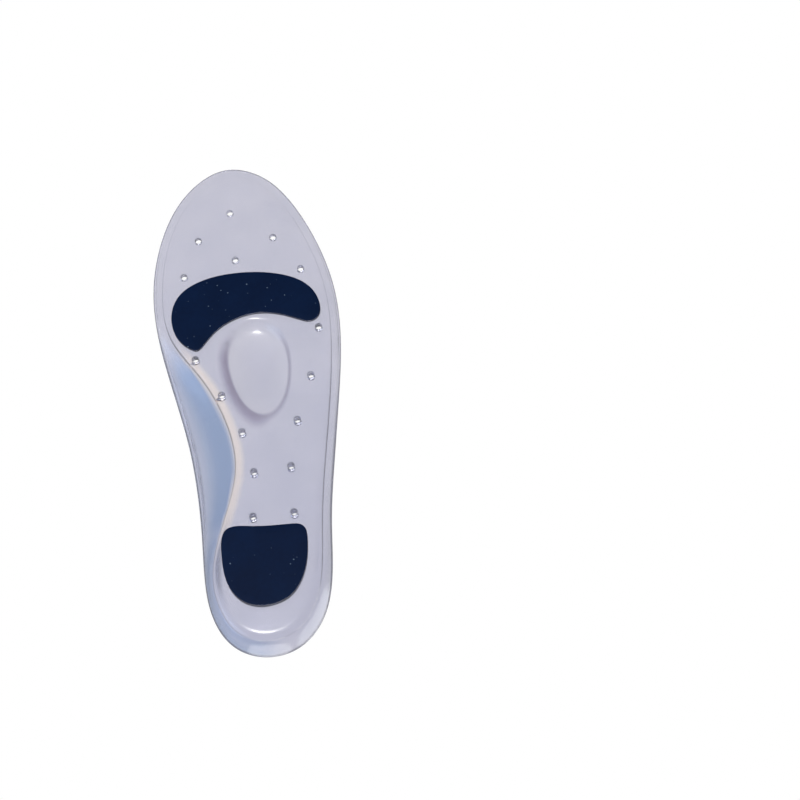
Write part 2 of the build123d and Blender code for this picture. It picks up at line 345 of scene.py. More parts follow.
def inside(points, loop, margin):
    """Which points lie inside a closed loop and at least margin from its corners."""
    keep = np.zeros(len(points), bool)
    before = np.roll(loop, 1, axis=0)
    for a, b in zip(before, loop):
        crosses = (a[1] > points[:, 1]) != (b[1] > points[:, 1])
        if a[1] != b[1]:
            at = a[0] + (points[:, 1] - a[1]) / (b[1] - a[1]) * (b[0] - a[0])
            keep ^= crosses & (points[:, 0] < at)
    for corner in loop:
        keep &= np.hypot(*(points - corner).T) > margin
    return keep


def fill(loop, height, spacing, upward):
    """Vertices and triangles that close a loop, lifted by the height function; the loop comes first."""
    points = field(loop.min(0), loop.max(0), spacing)
    points = points[inside(points, loop, spacing * FILL_MARGIN)]
    flat = [Vector(p) for p in np.concatenate([loop, points])]
    edges = [(i, (i + 1) % len(loop)) for i in range(len(loop))]
    verts, _, faces, _, _, _ = delaunay_2d_cdt(flat, edges, [], INSIDE_ONLY, SAME_POINT)
    xy = np.array([tuple(v) for v in verts])
    z = height(xy[:, 0], xy[:, 1])
    faces = [face if upward else face[::-1] for face in faces]
    return np.column_stack([xy, z]), faces


# %% [markdown]
# ## The gel shell
# Wall rows and the two fills share their border points, so after a merge the shell is one closed skin.
# The pads are made the same way later, from fewer rows.


# %% Build a closed skin
def new_object(name, verts, faces):
    """A mesh object at the origin, with its faces smooth."""
    mesh = bpy.data.meshes.new(name)
    mesh.from_pydata([tuple(v) for v in verts], [], [list(f) for f in faces])
    mesh.polygons.foreach_set("use_smooth", [True] * len(mesh.polygons))
    piece = bpy.data.objects.new(name, mesh)
    bpy.context.scene.collection.objects.link(piece)
    return piece


def skin(name, rows, lower, upper, spacing):
    """A closed skin over rows of points [row, place, xyz], its ends filled to two height functions."""
    count, around, _ = rows.shape
    verts = rows.reshape(-1, 3).tolist()
    faces = []
    for i in range(count - 1):
        for j in range(around):
            k = (j + 1) % around
            faces.append((i * around + j, i * around + k, (i + 1) * around + k, (i + 1) * around + j))
    for loop, height, upward in ((rows[0], lower, False), (rows[-1], upper, True)):
        spots, triangles = fill(loop[:, :2], height, spacing, upward)
        spots[:around, 2] = loop[:, 2]
        start = len(verts)
        verts += spots.tolist()
        faces += [[start + v for v in face] for face in triangles]
    return new_object(name, verts, faces)


# %% Close the skin for good, and build the gel's
MERGE, FINE_MERGE = 1e-3 * MM, 1e-4 * MM
GEL_SPACING = 1.5 * MM


def clean(piece, merge=MERGE):
    """Merge doubled points, close any four-sided gap, turn every face outwards; count the open edges."""
    bm = bmesh.new()
    bm.from_mesh(piece.data)
    bmesh.ops.remove_doubles(bm, verts=bm.verts, dist=merge)
    bmesh.ops.holes_fill(bm, edges=[e for e in bm.edges if e.is_boundary], sides=4)
    bmesh.ops.recalc_face_normals(bm, faces=bm.faces)
    open_edges = sum(1 for e in bm.edges if len(e.link_faces) != 2)
    bm.to_mesh(piece.data)
    bm.free()
    return open_edges


gel = skin("gel_body_skin", wall, sole_z, bed_z, GEL_SPACING)
print("gel shell:", len(gel.data.polygons), "faces,", clean(gel), "open edges")

# %% [markdown]
# ## The pads
# Both pads are flat castings with a crisp outline, flush with the sole. Their outlines are read from
# the CAD pads. Each pad's lower edge is rounded a little, so that a fine groove shows where it meets the
# gel, and the pad reaches a hair into the gel so that no air gap shows between the two.

# %% Pad outlines, read from the frame
PAD_EDGE, PAD_BITE = 0.25 * MM, 0.06 * MM
FACES_DOWN = -0.9  # a face whose normal has less z than this is part of the underside


def bottom_loop(node):
    """The outline of a CAD node's flat underside, in order."""
    bm = bmesh.new()
    bm.from_mesh(frame["nodes"][node].data)
    bmesh.ops.remove_doubles(bm, verts=bm.verts, dist=MERGE)
    rim = [e for e in bm.edges
           if len(e.link_faces) == 2 and sum(f.normal.z < FACES_DOWN for f in e.link_faces) == 1]
    ends = {}
    for edge in rim:
        for vert in edge.verts:
            ends.setdefault(vert, []).append(edge)
    vert = rim[0].verts[0]
    edge = rim[0]
    loop = []
    for _ in rim:
        loop.append(tuple(vert.co.xy))
        vert = edge.other_vert(vert)
        edge = next(e for e in ends[vert] if e is not edge)
    bm.free()
    loop = np.array(loop)
    area = np.sum(loop[:, 0] * np.roll(loop[:, 1], -1) - loop[:, 1] * np.roll(loop[:, 0], -1))
    return loop if area > 0 else loop[::-1]


def even_loop(loop, count):
    """The same closed loop at evenly spaced places."""
    steps = np.linalg.norm(np.roll(loop, -1, axis=0) - loop, axis=1)
    knots = np.concatenate([[0.0], np.cumsum(steps)])
    closed = np.vstack([loop, loop[:1]])
    places = np.linspace(0, knots[-1], count, endpoint=False)
    return np.column_stack([np.interp(places, knots, closed[:, i]) for i in (0, 1)])


def grown(loop, distance):
    """The loop moved outwards by a distance (inwards where it is negative)."""
    run = np.roll(loop, -1, axis=0) - np.roll(loop, 1, axis=0)
    run /= np.linalg.norm(run, axis=1)[:, None]
    return loop + np.column_stack([run[:, 1], -run[:, 0]]) * distance


# %% Build a pad and the pocket cutter for it
PAD_AROUND, PAD_EDGE_STEPS = 240, 5
PAD_SPACING, POCKET_SPACING = 3 * MM, 30 * MM
CUT_BELOW = 1 * MM


def lofted(name, loops, heights, spacing):
    """A closed solid through loops at heights, with flat ends."""
    rows = [np.column_stack([loop, np.full(len(loop), z)]) for loop, z in zip(loops, heights)]
    lower, upper = (lambda x, y, z=z: z + 0 * x for z in (heights[0], heights[-1]))
    piece = skin(name, np.array(rows), lower, upper, spacing)
    clean(piece)
    return piece


def pad_and_pocket(node, name):
    """The pad's own mesh and the cutter that makes its pocket."""
    low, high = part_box(node)
    loop = even_loop(bottom_loop(node), PAD_AROUND)
    loops, heights = [], []
    for turn in np.linspace(0, math.pi / 2, PAD_EDGE_STEPS + 1):
        loops.append(grown(loop, PAD_BITE - PAD_EDGE * (1 - math.sin(turn))))
        heights.append(low.z + PAD_EDGE * (1 - math.cos(turn)))
    loops.append(grown(loop, PAD_BITE))
    heights.append(high.z + PAD_BITE)
    pad = lofted(name, loops, heights, PAD_SPACING)
    pocket = lofted(name + "_cutter", [loop, loop], [low.z - CUT_BELOW, high.z], POCKET_SPACING)
    return pad, pocket


crescent, crescent_cutter = pad_and_pocket("metatarsal_pad", "metatarsal_pad_soft")
heel, heel_cutter = pad_and_pocket("heel_pad", "heel_pad_soft")
print("pads:", len(crescent.data.polygons), "and", len(heel.data.polygons), "faces")

# %% [markdown]
# ## The vents
# Sixteen small holes let the foot breathe. They all have one shape, a round hole that flares softly at
# both mouths, and only their places and depths differ. That is a job for Geometry Nodes: one flared
# plug, put on a point for every vent and stretched to the gel's thickness there. The plugs are then
# taken away from the gel with a boolean.

# %% Where the vents are
VENT_RADIUS, VENT_CLEARANCE = 1.4 * MM, 4.0 * MM


def vent_places():
    """The vents' places in plan, set out from the pads, the dome and the toe."""
    toe = LENGTH / 2
    front, rear = crescent_high.y, crescent_low.y
    depth = front - rear
    half = (crescent_high.x - crescent_low.x) / 2
    heel_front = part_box("heel_pad")[1].y
    tail = dome_y - (DOME_LENGTH - DOME_NOSE)
    waist = mix(heel_front, tail, 0.5)
    side = DOME_WIDTH / 2
    gap = VENT_CLEARANCE
    return [
        # under the toes
        (4 * MM, mix(front, toe, 0.57)),
        (20 * MM, mix(front, toe, 0.34)),
        (-15.5 * MM, mix(front, toe, 0.30)),
        # ahead of the crescent
        (0.80 * half, rear + 0.83 * depth + gap + 3.6 * MM),
        (0.09 * half, front + gap + 3.4 * MM),
        (-0.78 * half, rear + 0.79 * depth + gap + 3.1 * MM),
        # behind the crescent's horns
        (0.725 * half - 0.2 * MM, rear - gap - 0.6 * MM),
        (-0.94 * half - 0.3 * MM, rear + 0.27 * depth - gap - 0.8 * MM),
        # beside the dome and behind it
        (DOME_X + side + gap - 2 * MM, dome_y - 17.3 * MM),
        (DOME_X - side - gap - 4.3 * MM, dome_y - 11.7 * MM),
        (6.2 * MM, tail - gap - 1.3 * MM),
        (-19.5 * MM, tail - gap + 1.9 * MM),
        # at the waist and ahead of the heel pad
        (2.2 * MM, waist),
        (-14.8 * MM, waist + 1 * MM),
        (4.2 * MM, heel_front + gap),
        (-14.4 * MM, heel_front + gap),
    ]


def vent_points(gel):
    """A point in the middle of the gel's thickness at each vent, which knows that thickness."""
    tree = BVHTree.FromObject(gel, bpy.context.evaluated_depsgraph_get())
    spots, depths = [], []
    up, down = Vector((0, 0, 1)), Vector((0, 0, -1))
    for x, y in vent_places():
        below = tree.ray_cast(Vector((x, y, -1)), up)[0]
        above = tree.ray_cast(Vector((x, y, 1)), down)[0]
        spots.append((x, y, (below.z + above.z) / 2))
        depths.append(above.z - below.z)
    points = new_object("vent_points", spots, [])
    depth = points.data.attributes.new("depth", "FLOAT", "POINT")
    depth.data.foreach_set("value", depths)
    return points


points = vent_points(gel)
print("vents:", len(points.data.vertices))


# %% Two helpers for every node tree here
def settle(node, values):
    """Set a node's named inputs."""
    for name, value in values.items():
        node.inputs[name].default_value = value


def reckon(tree, operation, first, second=0.0):
    """One Math node; each input is a socket or a number."""
    node = tree.nodes.new("ShaderNodeMath")
    node.operation = operation
    for socket, value in zip(node.inputs, (first, second)):
        if isinstance(value, (int, float)):
            socket.default_value = value
        else:
            tree.links.new(value, socket)
    return node.outputs[0]


# %% The vent tree
VENT_FLARE, VENT_OVERSHOOT, VENT_SIDES = 0.32, 0.3 * MM, 32
PLUG_SEGMENTS, PLUG_CURL = 14, 5.0


def socket_id(tree, name):
    """The identifier that a modifier uses for a tree's named input."""
    return next(item.identifier for item in tree.interface.items_tree
                if item.name == name and item.in_out == "INPUT")


def vent_tree():
    """Geometry Nodes: a flared plug on every point, stretched to the point's depth."""
    tree = bpy.data.node_groups.new("Vent plugs", "GeometryNodeTree")
    new = tree.interface.new_socket
    new("Points", in_out="INPUT", socket_type="NodeSocketGeometry")
    for name, default in (("Radius", VENT_RADIUS), ("Flare", VENT_FLARE), ("Overshoot", VENT_OVERSHOOT)):
        new(name, in_out="INPUT", socket_type="NodeSocketFloat").default_value = default
    new("Sides", in_out="INPUT", socket_type="NodeSocketInt").default_value = VENT_SIDES
    new("Material", in_out="INPUT", socket_type="NodeSocketMaterial")
    new("Plugs", in_out="OUTPUT", socket_type="NodeSocketGeometry")
    add, link = tree.nodes.new, tree.links.new
    given, made = add("NodeGroupInput"), add("NodeGroupOutput")

    # a unit plug, widened at both ends: the spread grows steeply with the height from its middle
    plug = add("GeometryNodeMeshCylinder")
    settle(plug, {"Side Segments": PLUG_SEGMENTS, "Radius": 1.0, "Depth": 1.0})
    link(given.outputs["Sides"], plug.inputs["Vertices"])
    place, split = add("GeometryNodeInputPosition"), add("ShaderNodeSeparateXYZ")
    link(place.outputs["Position"], split.inputs[0])
    from_middle = reckon(tree, "ABSOLUTE", split.outputs["Z"])
    steep = reckon(tree, "POWER", reckon(tree, "MULTIPLY", from_middle, 2.0), PLUG_CURL)
    spread = reckon(tree, "MULTIPLY", steep, given.outputs["Flare"])
    sideways = add("ShaderNodeCombineXYZ")
    for axis in "XY":
        link(reckon(tree, "MULTIPLY", split.outputs[axis], spread), sideways.inputs[axis])
    flared = add("GeometryNodeSetPosition")
    link(plug.outputs["Mesh"], flared.inputs["Geometry"])
    link(sideways.outputs[0], flared.inputs["Offset"])

    # one plug on every point, as wide as the vent and a little longer than the gel is thick there
    depth = add("GeometryNodeInputNamedAttribute")
    depth.data_type = "FLOAT"
    settle(depth, {"Name": "depth"})
    longer = reckon(tree, "ADD", depth.outputs["Attribute"], given.outputs["Overshoot"])
    size = add("ShaderNodeCombineXYZ")
    for axis, length in (("X", given.outputs["Radius"]), ("Y", given.outputs["Radius"]), ("Z", longer)):
        link(length, size.inputs[axis])
    put = add("GeometryNodeInstanceOnPoints")
    link(given.outputs["Points"], put.inputs["Points"])
    link(flared.outputs["Geometry"], put.inputs["Instance"])
    link(size.outputs[0], put.inputs["Scale"])
    real, finish = add("GeometryNodeRealizeInstances"), add("GeometryNodeSetMaterial")
    link(put.outputs["Instances"], real.inputs[0])
    link(real.outputs[0], finish.inputs["Geometry"])
    link(given.outputs["Material"], finish.inputs["Material"])
    link(finish.outputs[0], made.inputs["Plugs"])
    return tree


# %% Run the tree and keep its result as a plain mesh
def plain_mesh(source, name):
    """A new object that holds the evaluated mesh of source, with no modifiers; source is removed."""
    seen = source.evaluated_get(bpy.context.evaluated_depsgraph_get())
    mesh = bpy.data.meshes.new_from_object(seen)
    piece = bpy.data.objects.new(name, mesh)
    bpy.context.scene.collection.objects.link(piece)
    bpy.data.objects.remove(source)
    return piece


def vent_plugs(points, finish):
    """The vents' plugs as one plain mesh."""
    tree = vent_tree()
    run = points.modifiers.new("Vents", "NODES")
    run.node_group = tree
    values = {
        "Radius": VENT_RADIUS,
        "Flare": VENT_FLARE,
        "Overshoot": VENT_OVERSHOOT,
        "Sides": VENT_SIDES,
        "Material": finish,
    }
    for name, value in values.items():
        run[socket_id(tree, name)] = value
    return plain_mesh(points, "vent_plugs")


gel_finish = bpy.data.materials.new("clear_gel")
plugs = vent_plugs(points, gel_finish)
print("vent plugs:", len(plugs.data.polygons), "faces")


# %% Cut the pockets and vents out of the gel
GEL_CRISP, PAD_CRISP = math.radians(32), math.radians(50)


def cut(body, cutter):
    """Take cutter away from body for good, and remove it."""
    step = body.modifiers.new("Cut", "BOOLEAN")
    step.operation = "DIFFERENCE"
    step.solver = "EXACT"
    step.object = cutter
    name = body.name
    result = plain_mesh(body, name + "_cut")
    result.name = name
    bpy.data.objects.remove(cutter)
    return result


def sharpen(piece, angle):
    """Smooth faces, with the edges that turn by more than angle kept crisp."""
    mesh = piece.data
    mesh.polygons.foreach_set("use_smooth", [True] * len(mesh.polygons))
    bm = bmesh.new()
    bm.from_mesh(mesh)
    for edge in bm.edges:
        edge.smooth = len(edge.link_faces) == 2 and edge.calc_face_angle(0.0) < angle
    bm.to_mesh(mesh)
    bm.free()


for cutter in (crescent_cutter, heel_cutter, plugs):
    gel = cut(gel, cutter)
gel.name = "gel_body_clear"
open_edges = clean(gel, FINE_MERGE)
sharpen(gel, GEL_CRISP)
for pad in (crescent, heel):
    sharpen(pad, PAD_CRISP)
print("gel body:", len(gel.data.polygons), "faces,", open_edges, "open edges")

# %% [markdown]
# ## Where shade and light are painted on the gel
# Over the arch's hollow and beside the heel the gel's colour is painted bluer, as painted shade, and
# along the arch the sole's edge gets a painted warm line of light. How far a point is from the crease
# follows from the outline's own table, so both shares are worked out once for each point of the mesh
# and kept as attributes that the finish reads. A picture painted on the mesh would do the same, but it
# would have to be painted again for each new size.


# %% The arch's shares at every point
# Sizes of the painted blue shade: over the arch's flare, what is left at the rim, and beside the heel.
ARCH_TINT_START, ARCH_TINT_FULL = 0.19, 0.65  # shares of the arch's flare
RIM_TINT, RIM_FADE_START = 0.20, 0.35  # the blue that is left at the rim, and where it starts to fade
HEEL_TINT, HEEL_TINT_REACH = 0.9, 7.0 * MM  # the blue beside the heel: strength and soft half width
HEEL_TINT_END = 0.35  # the station where it has faded out
CREASE_SOFT, LIT_EDGE = 0.5 * MM, 5.0 * MM


def carry(piece, name, share):
    """Store a share on every point of the piece."""
    held = piece.data.attributes.new(name, "FLOAT", "POINT")
    held.data.foreach_set("value", share)
    print(f"{name}: {np.count_nonzero(share > 0.5)} of {len(share)} points have more than half")


def arch_shares(piece, table):
    """How much painted blue shade each point gets in the arch's hollow, and how much painted light on
    the sole's lit edge.
    """
    spots = np.empty(len(piece.data.vertices) * 3)
    piece.data.vertices.foreach_get("co", spots)
    flat = spots.reshape(-1, 3)[:, :2]
    gaps = np.linalg.norm(flat[:, None, :] - table[None, :, :2], axis=2)
    flare = table[gaps.argmin(axis=1), 3]
    past_crease = flare - gaps.min(axis=1)
    outside = ease(past_crease, -CREASE_SOFT, CREASE_SOFT)
    arch = ease(flare, ARCH_TINT_START * ARCH_FLARE, ARCH_TINT_FULL * ARCH_FLARE)
    beside_heel = HEEL_TINT * ease(flat[:, 0], -HEEL_TINT_REACH, HEEL_TINT_REACH)
    beside_heel *= 1 - ease(flat[:, 1], station_y(HEEL_STATION), station_y(HEEL_TINT_END))
    # Painted shade: the blue share over the arch's hollow and beside the heel.
    hollow = np.maximum(arch, beside_heel) * outside
    hollow *= 1 - (1 - RIM_TINT) * ease(past_crease / flare, RIM_FADE_START, 1.0)
    # Painted light: a warm line on the sole just inside the crease, along the arch.
    lit = arch * ease(past_crease, -LIT_EDGE, -LIT_EDGE / 2) * (1 - outside)
    return hollow, lit


arch_shade_share, lit_share = arch_shares(gel, outline)
carry(gel, "painted_arch_shade", arch_shade_share)
carry(gel, "lit_edge", lit_share)

# %% [markdown]
# ## Finishes
# Clear silicone isn't glass: it is slightly cloudy, faintly lilac, and its skin is softly uneven from
# the mould, so highlights are broad with a shimmer. Both finishes need that unevenness, so it is one
# shader node group with its own scale and strength.


# %% The mottle group
BROAD_DETAIL, FINE_DETAIL, FINE_SCALE = 3.0, 2.0, 9.0


def mottle_group():
    """Noise in object coordinates: a 0 to 1 value, broad and fine."""
    group = bpy.data.node_groups.new("Moulded mottle", "ShaderNodeTree")
    new = group.interface.new_socket
    for name, default in (("Scale", 60.0), ("Fine share", 0.3)):
        new(name, in_out="INPUT", socket_type="NodeSocketFloat").default_value = default
    new("Value", in_out="OUTPUT", socket_type="NodeSocketFloat")
    add, link = group.nodes.new, group.links.new
    given, made = add("NodeGroupInput"), add("NodeGroupOutput")
    where = add("ShaderNodeTexCoord")
    broad, fine = add("ShaderNodeTexNoise"), add("ShaderNodeTexNoise")
    settle(broad, {"Detail": BROAD_DETAIL})
    settle(fine, {"Detail": FINE_DETAIL})
    link(given.outputs["Scale"], broad.inputs["Scale"])
    link(reckon(group, "MULTIPLY", given.outputs["Scale"], FINE_SCALE), fine.inputs["Scale"])
    for noise in (broad, fine):
        link(where.outputs["Object"], noise.inputs["Vector"])
    blend = add("ShaderNodeMix")
    link(given.outputs["Fine share"], blend.inputs["Factor"])
    link(broad.outputs["Fac"], blend.inputs["A"])
    link(fine.outputs["Fac"], blend.inputs["B"])
    link(blend.outputs["Result"], made.inputs["Value"])
    return group


MOTTLE = mottle_group()
print("mottle group:", len(MOTTLE.nodes), "nodes")


# %% Node helpers shared by the finishes
def shader_start(material):
    """An empty node tree with a Principled shader on its surface output."""
    material.use_nodes = True
    tree = material.node_tree
    tree.nodes.clear()
    shader = tree.nodes.new("ShaderNodeBsdfPrincipled")
    output = tree.nodes.new("ShaderNodeOutputMaterial")
    tree.links.new(shader.outputs[0], output.inputs["Surface"])
    return tree, shader, output


def mottle(tree, scale, fine_share):
    """One use of the mottle group."""
    node = tree.nodes.new("ShaderNodeGroup")
    node.node_tree = MOTTLE
    settle(node, {"Scale": scale, "Fine share": fine_share})
    return node.outputs["Value"]


def ramp(tree, value, stops):
    """A colour ramp with the given (place, colour) stops."""
    node = tree.nodes.new("ShaderNodeValToRGB")
    for element, (place, colour) in zip(node.color_ramp.elements, stops):
        element.position = place
        element.color = (*colour, 1.0)
    tree.links.new(value, node.inputs["Fac"])
    return node.outputs["Color"]


def span(tree, value, low, high):
    """A 0 to 1 value mapped to low to high."""
    node = tree.nodes.new("ShaderNodeMapRange")
    settle(node, {"To Min": low, "To Max": high})
    tree.links.new(value, node.inputs["Value"])
    return node.outputs["Result"]


def bump(tree, height, distance, shader):
    """Bump from a 0 to 1 height, distance deep in metres."""
    node = tree.nodes.new("ShaderNodeBump")
    settle(node, {"Strength": 1.0, "Distance": distance})
    tree.links.new(height, node.inputs["Height"])
    tree.links.new(node.outputs["Normal"], shader.inputs["Normal"])


# %% Helpers for masks and tints
def rise(tree, value, start, end, low=0.0, high=1.0):
    """A smooth step from low to high as value goes from start to end, which may be sockets too."""
    node = tree.nodes.new("ShaderNodeMapRange")
    node.interpolation_type = "SMOOTHSTEP"
    names = ("Value", "From Min", "From Max", "To Min", "To Max")
    for name, given in zip(names, (value, start, end, low, high)):
        if isinstance(given, (int, float)):
            node.inputs[name].default_value = given
        else:
            tree.links.new(given, node.inputs[name])
    return node.outputs["Result"]


def tinted(tree, under, share, colour):
    """The colour under, mixed towards colour by share."""
    node = tree.nodes.new("ShaderNodeMix")
    node.data_type = "RGBA"
    node.inputs["B"].default_value = (*colour, 1.0)
    tree.links.new(share, node.inputs["Factor"])
    tree.links.new(under, node.inputs["A"])
    return node.outputs["Result"]


def carried(tree, name):
    """A share that the mesh carries on its points."""
    node = tree.nodes.new("ShaderNodeAttribute")
    node.attribute_name = name
    return node.outputs["Fac"]


# %% [markdown]
# ## The clear gel
# Plain glass would look hard and empty here. Silicone is a little cloudy, and it looks bluer the thicker
# it is, so this finish lets most light through a softly rough skin and absorbs some of it on the way.
# Three painted marks then follow the shape: painted blue shade over the hollow, a painted warm line of
# light on the lit edge, and painted mauve shade on the steep side of the dome. The last one is a mask
# worked out from the dome's own sizes.

# %% Painted shade on the dome's side wall, as a mask
BAND_START, BAND_FULL, BAND_FADE = 0.86, 0.93, 0.95  # shares of the dome's outline
THIN_END, WIDE_END = 1.02, 1.24  # where the band ends on its thin side and on its wide side
THIN_SIDE, WIDE_SIDE = -0.5, 0.7  # how far across those two sides lie
THIN_STRENGTH = 0.55
NOSE_START, NOSE_END = 0.1, 0.9  # the band fades out between these, towards the dome's nose


def dome_wall_painted_shade(tree):
    """Painted shade: 1 along the dome's steep side, wide towards the big toe and a thin line on the
    other side.
    """
    where, own = tree.nodes.new("ShaderNodeTexCoord"), tree.nodes.new("ShaderNodeMapping")
    own.vector_type = "TEXTURE"
    settle(own, {
        "Location": (DOME_X, float(dome_y), 0.0),
        "Rotation": (0.0, 0.0, DOME_LEAN),
        "Scale": (DOME_WIDTH / 2, DOME_NOSE, 1.0),
    })
    tree.links.new(where.outputs["Object"], own.inputs["Vector"])
    split = tree.nodes.new("ShaderNodeSeparateXYZ")
    tree.links.new(own.outputs[0], split.inputs[0])
    across, ahead = split.outputs["X"], split.outputs["Y"]
    behind = reckon(tree, "MINIMUM", ahead, 0.0)
    behind = reckon(tree, "MULTIPLY", behind, DOME_NOSE / (DOME_LENGTH - DOME_NOSE))
    along = reckon(tree, "ADD", reckon(tree, "MAXIMUM", ahead, 0.0), behind)
    squares = [reckon(tree, "MULTIPLY", part, part) for part in (across, along)]
    share = reckon(tree, "SQRT", reckon(tree, "ADD", *squares))
    side = rise(tree, reckon(tree, "DIVIDE", across, share), THIN_SIDE, WIDE_SIDE)
    band_end = rise(tree, side, 0.0, 1.0, THIN_END, WIDE_END)
    start = rise(tree, share, BAND_START, BAND_FULL)
    end = rise(tree, share, BAND_FADE, band_end, 1.0, 0.0)
    strength = rise(tree, side, 0.0, 1.0, THIN_STRENGTH, 1.0)
    nose = rise(tree, ahead, NOSE_START, NOSE_END, 1.0, 0.0)
    # The mask of painted shade along the dome's side wall.
    mask = start
    for factor in (end, strength, nose):
        mask = reckon(tree, "MULTIPLY", mask, factor)
    return mask


# %% Clear gel
GEL_DEEP, GEL_PALE = (0.68, 0.68, 0.78), (0.75, 0.74, 0.83)
GEL_BODY = (0.52, 0.56, 0.74)
# Painted colours: blue shade over the arch's hollow, mauve shade on the dome's steep side, and a warm
# line of light on the sole's lit edge.
ARCH_PAINTED_SHADE, DOME_PAINTED_SHADE, EDGE_WARM = (0.38, 0.47, 0.66), (0.43, 0.40, 0.52), (0.98, 0.89, 0.84)
CLOUD_LOW, CLOUD_HIGH = 0.3, 0.7  # the mottle's values where one colour gives way to the other
GEL_BUMP = 0.05 * MM


def finish_gel(material):
    """Cloudy clear silicone: mostly transmitting, faintly lilac, deeper where it is thick."""
    tree, shader, output = shader_start(material)
    cloud = mottle(tree, scale=45.0, fine_share=0.25)
    shade = ramp(tree, cloud, [(CLOUD_LOW, GEL_DEEP), (CLOUD_HIGH, GEL_PALE)])
    # Painted shade and painted light: blue shade over the hollow, a warm line of light on the lit edge,
    # mauve shade on the dome's side.
    shade = tinted(tree, shade, carried(tree, "painted_arch_shade"), ARCH_PAINTED_SHADE)
    shade = tinted(tree, shade, carried(tree, "lit_edge"), EDGE_WARM)
    shade = tinted(tree, shade, dome_wall_painted_shade(tree), DOME_PAINTED_SHADE)
    tree.links.new(shade, shader.inputs["Base Color"])
    tree.links.new(span(tree, cloud, low=0.20, high=0.25), shader.inputs["Roughness"])
    settle(shader, {
        "Transmission Weight": 0.90,
        "IOR": 1.41,
        "Specular IOR Level": 0.5,
        "Coat Weight": 0.15,
        "Coat Roughness": 0.12,
    })
    bump(tree, mottle(tree, scale=160.0, fine_share=0.4), GEL_BUMP, shader)
    body = tree.nodes.new("ShaderNodeVolumeAbsorption")
    settle(body, {"Color": (*GEL_BODY, 1.0), "Density": 60.0})
    tree.links.new(body.outputs[0], output.inputs["Volume"])


finish_gel(gel_finish)
print("gel finish:", len(gel_finish.node_tree.nodes), "nodes")

# %% [markdown]
# ## The dark pads
# The pads are a softer silicone, matt and nearly black with a blue cast. Soft silicone picks up dust at
# once, and the pale specks show how large the pads are. They are far too small and too many to model, so
# a cell pattern scatters them: a few of its cells are chosen, and each holds one speck of its own size.

# %% Dark soft pads
PAD_DEEP, PAD_PALE = (0.0010, 0.0080, 0.034), (0.0018, 0.0125, 0.050)
DUST_COLOUR = (0.12, 0.17, 0.24)
PAD_BUMP = 0.04 * MM


def dust(tree, scale, amount):
    """Tiny pale specks of uneven size and strength, scattered: 0 between them."""
    where = tree.nodes.new("ShaderNodeTexCoord")
    cells = tree.nodes.new("ShaderNodeTexVoronoi")
    settle(cells, {"Scale": scale})
    tree.links.new(where.outputs["Object"], cells.inputs["Vector"])
    chosen = tree.nodes.new("ShaderNodeSeparateColor")
    tree.links.new(cells.outputs["Color"], chosen.inputs[0])
    few = reckon(tree, "LESS_THAN", chosen.outputs["Red"], amount)
    reach = span(tree, chosen.outputs["Green"], low=0.05, high=0.24)
    speck = reckon(tree, "LESS_THAN", cells.outputs["Distance"], reach)
    strength = span(tree, chosen.outputs["Blue"], low=0.25, high=1.0)
    return reckon(tree, "MULTIPLY", reckon(tree, "MULTIPLY", few, speck), strength)


def finish_pad(material):
    """Matte navy silicone with a faint mottle and a few specks of dust."""
    tree, shader, _ = shader_start(material)
    cloud = mottle(tree, scale=55.0, fine_share=0.3)
    shade = ramp(tree, cloud, [(CLOUD_LOW, PAD_DEEP), (CLOUD_HIGH, PAD_PALE)])
    shade = tinted(tree, shade, dust(tree, scale=640.0, amount=0.13), DUST_COLOUR)
    tree.links.new(shade, shader.inputs["Base Color"])
    tree.links.new(span(tree, cloud, low=0.42, high=0.58), shader.inputs["Roughness"])
    settle(shader, {"Specular IOR Level": 0.06})
    bump(tree, mottle(tree, scale=500.0, fine_share=0.5), PAD_BUMP, shader)


pad_finish = bpy.data.materials.new("soft_pad")
finish_pad(pad_finish)


# %% Give each piece its finish
def wear(piece, material):
    """The piece's one material."""
    piece.data.materials.clear()
    piece.data.materials.append(material)
    piece.data.polygons.foreach_set("material_index", [0] * len(piece.data.polygons))


wear(gel, gel_finish)
wear(crescent, pad_finish)
wear(heel, pad_finish)
print("finishes:", gel_finish.name, "and", pad_finish.name)

# %% [markdown]
# ## Tie the pieces to the frame
# The part has no joints, so everything rides on its one body. Each new mesh stands for its CAD node.

# %% Ride and replace
for piece, node, slot in (
    (gel, "gel_body", "clear_gel"),
    (crescent, "metatarsal_pad", "soft_pad"),
    (heel, "heel_pad", "soft_pad"),
):
    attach(piece, "root")
    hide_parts(node)
    print(f"{piece.name} stands for {node}")

# %% [markdown]
# ## Floor and lights
# The insole is seen from below as often as from above, so the floor must not stand in the way: it is a
# one-sided sheet, pale from above and clear from below. It lies just under the sole, because two faces
# in one plane would fight. Big soft lights above and below keep every side readable.


# %% A one-sided floor
FLOOR_HALF, FLOOR_GAP = 4.0, 0.5 * MM


def one_sided(material, colour, glow):
    """Plain and pale from the front, with an even glow; clear from the back."""
    tree, shader, output = shader_start(material)
    shade = (*colour, 1.0)
    settle(shader, {
        "Base Color": shade,
        "Roughness": 0.85,
        "Emission Color": shade,
        "Emission Strength": glow,
    })
    facing = tree.nodes.new("ShaderNodeNewGeometry")
    clear, choose = tree.nodes.new("ShaderNodeBsdfTransparent"), tree.nodes.new("ShaderNodeMixShader")
    tree.links.new(facing.outputs["Backfacing"], choose.inputs[0])
    tree.links.new(shader.outputs[0], choose.inputs[1])
    tree.links.new(clear.outputs[0], choose.inputs[2])
    tree.links.new(choose.outputs[0], output.inputs["Surface"])


